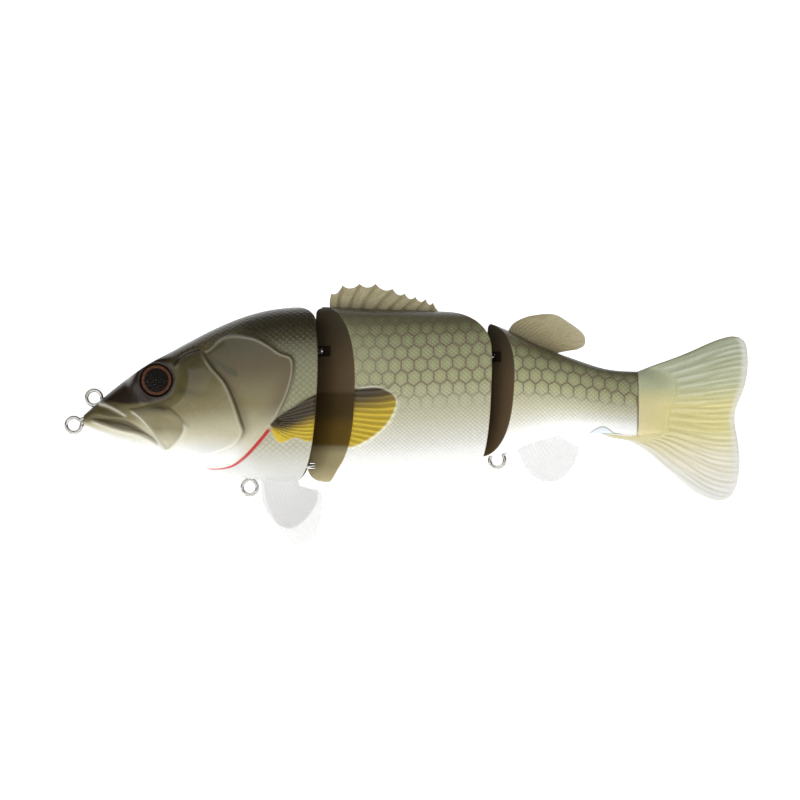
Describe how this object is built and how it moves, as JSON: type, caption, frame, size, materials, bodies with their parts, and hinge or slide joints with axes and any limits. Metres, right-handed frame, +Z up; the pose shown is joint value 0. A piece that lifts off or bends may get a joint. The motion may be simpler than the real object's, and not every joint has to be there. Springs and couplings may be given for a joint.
{
  "type": "jointed swimbait",
  "caption": "Fish-shaped hard lure in jointed sections that swing on vertical hinge pins, with moulded eyes, translucent fins, wire rings for line and hooks, and a soft tail.",
  "frame": {"origin": "centre of the nose line tie ring", "axes": "+X from the nose towards the tail, +Z up towards the back; the fish's left side faces -Y"},
  "size_m": [0.2053, 0.0356, 0.0797],
  "materials": {
    "painted_hull": "hard plastic, airbrushed under clear coat",
    "eye_foil": "copper foil disc with a dark pupil",
    "eye_dome": "clear cast resin dome",
    "stainless_wire": "bright drawn stainless wire",
    "clear_fin": "translucent soft plastic",
    "olive_fin": "translucent olive soft plastic with rays",
    "soft_tail": "soft plastic, olive to yellow to clear",
    "ballast_metal": "cast lead"
  },
  "bodies": {
    "head": {"head_shell_left": "painted_hull", "head_shell_right": "painted_hull", "eye_iris_left": "eye_foil", "eye_iris_right": "eye_foil", "eye_lens_left": "eye_dome", "eye_lens_right": "eye_dome", "nose_line_tie": "stainless_wire", "brow_line_tie": "stainless_wire", "front_hook_hanger": "stainless_wire", "pelvic_fin_left": "clear_fin", "pelvic_fin_right": "clear_fin", "front_hinge_eye_upper": "stainless_wire", "front_hinge_eye_lower": "stainless_wire", "head_ballast": "ballast_metal"},
    "middle": {"mid_shell_left": "painted_hull", "mid_shell_right": "painted_hull", "spiny_dorsal_fin": "olive_fin", "front_hinge_pin": "stainless_wire", "rear_hinge_eye_upper": "stainless_wire", "rear_hinge_eye_lower": "stainless_wire", "mid_ballast": "ballast_metal"},
    "tail": {"tail_shell_left": "painted_hull", "tail_shell_right": "painted_hull", "soft_dorsal_fin": "olive_fin", "anal_fin": "clear_fin", "rear_hinge_pin": "stainless_wire", "rear_hook_hanger": "stainless_wire", "tail_ballast": "ballast_metal", "caudal_fin": "soft_tail"}
  },
  "joints": [
    {"name": "front_joint", "type": "hinge", "parent": "head", "child": "middle", "pos_m": [0.0744, 0, 0], "axis": [0, 0, 1], "range_deg": [-30, 30]},
    {"name": "rear_joint", "type": "hinge", "parent": "middle", "child": "tail", "pos_m": [0.1253, 0, 0], "axis": [0, 0, 1], "range_deg": [-28, 28]}
  ]
}
